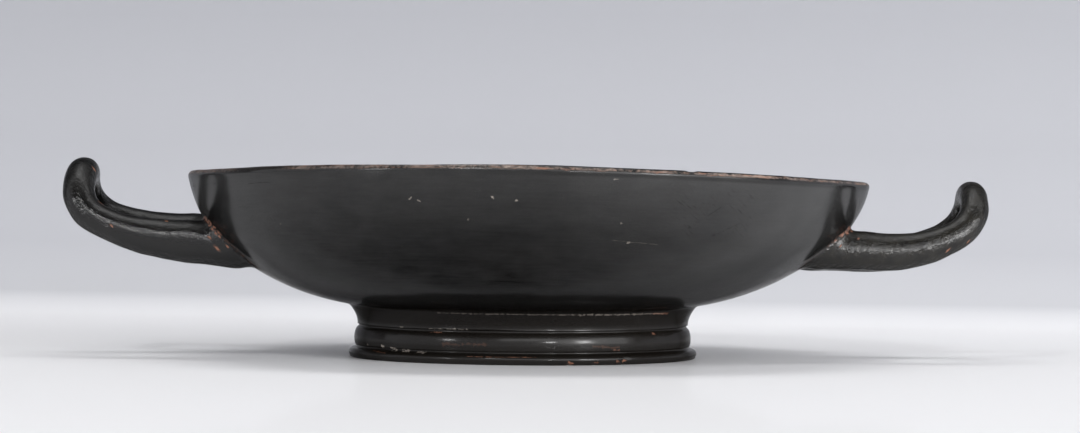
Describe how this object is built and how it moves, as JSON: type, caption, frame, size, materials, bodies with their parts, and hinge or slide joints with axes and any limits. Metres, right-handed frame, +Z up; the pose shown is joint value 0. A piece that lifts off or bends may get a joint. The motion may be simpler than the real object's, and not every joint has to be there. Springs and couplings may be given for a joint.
{
  "type": "kylix cup",
  "caption": "Shallow stemless drinking cup in black-gloss fired clay, on a moulded ring foot, with upturned loop handles at its sides.",
  "frame": {"origin": "centre of the resting ring on the underside of the foot, under the middle of the bowl", "axes": "+Z up, X through both handles, -Y towards the side that shows the raised front of the rim"},
  "size_m": [0.2313, 0.1712, 0.0496],
  "materials": {
    "black_gloss": "semi-lustrous black slip on orange-brown fired clay, worn through to the clay at the lip, the handle roots and the foot"
  },
  "bodies": {
    "root": {"kylix_cup": "black_gloss"}
  },
  "joints": []
}
